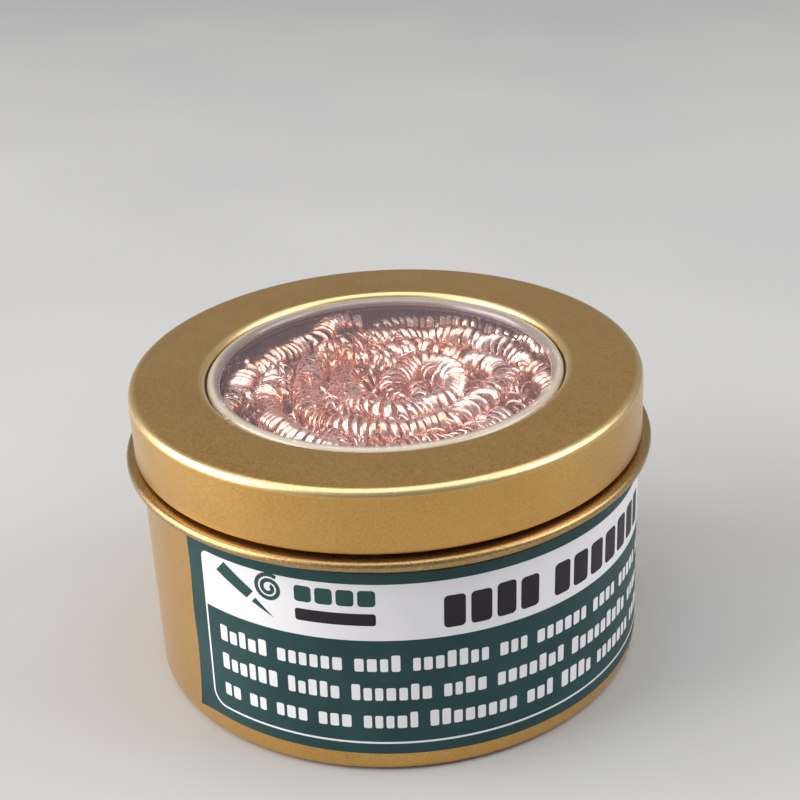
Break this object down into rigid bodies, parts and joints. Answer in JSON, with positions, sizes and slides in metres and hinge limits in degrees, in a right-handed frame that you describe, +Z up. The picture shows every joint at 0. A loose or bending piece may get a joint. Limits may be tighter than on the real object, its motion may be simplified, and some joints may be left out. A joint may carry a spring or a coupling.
{
  "type": "tip cleaning brass",
  "caption": "Round gold slip-lid tin with a clear window in its lid, holding a nest of curled copper-coloured wire for wiping soldering tips.",
  "frame": {"origin": "centre of the foot, on the surface that the tin stands on", "axes": "+Z up along the tin's axis, -Y towards the front of the label"},
  "size_m": [0.0622, 0.0622, 0.036],
  "materials": {
    "gold_tinplate": "satin gold lacquer outside with a fine orange-peel texture, bare bright tin inside",
    "clear_window": "clear glossy moulded sheet with a rounded rim",
    "printed_label": "semi-gloss printed sticker, dark teal with a white band and blank bars in place of writing",
    "copper_ribbon": null
  },
  "bodies": {
    "tin": {"tin_body": "gold_tinplate", "label": "printed_label"},
    "wire_nest": {"strand_low_outer": "copper_ribbon", "strand_low_middle": "copper_ribbon", "strand_low_inner": "copper_ribbon", "strand_mid_outer": "copper_ribbon", "strand_mid_middle": "copper_ribbon", "strand_mid_inner": "copper_ribbon", "strand_high_outer": "copper_ribbon", "strand_high_middle": "copper_ribbon", "strand_high_inner": "copper_ribbon", "strand_core": "copper_ribbon", "strand_cross_front": "copper_ribbon", "strand_cross_back": "copper_ribbon", "strand_top_right": "copper_ribbon", "strand_top_left": "copper_ribbon", "strand_top_back": "copper_ribbon", "strand_top_side": "copper_ribbon", "strand_top_front": "copper_ribbon", "strand_top_swirl": "copper_ribbon", "strand_top_centre": "copper_ribbon"},
    "lid": {"lid_shell": "gold_tinplate", "lid_window": "clear_window"}
  },
  "joints": [
    {"name": "nest_lift", "type": "slide", "parent": "tin", "child": "wire_nest", "axis": [0, 0, 1], "range_m": [0, 0.04]},
    {"name": "lid_lift", "type": "slide", "parent": "wire_nest", "child": "lid", "axis": [0, 0, 1], "range_m": [0, 0.045]}
  ]
}
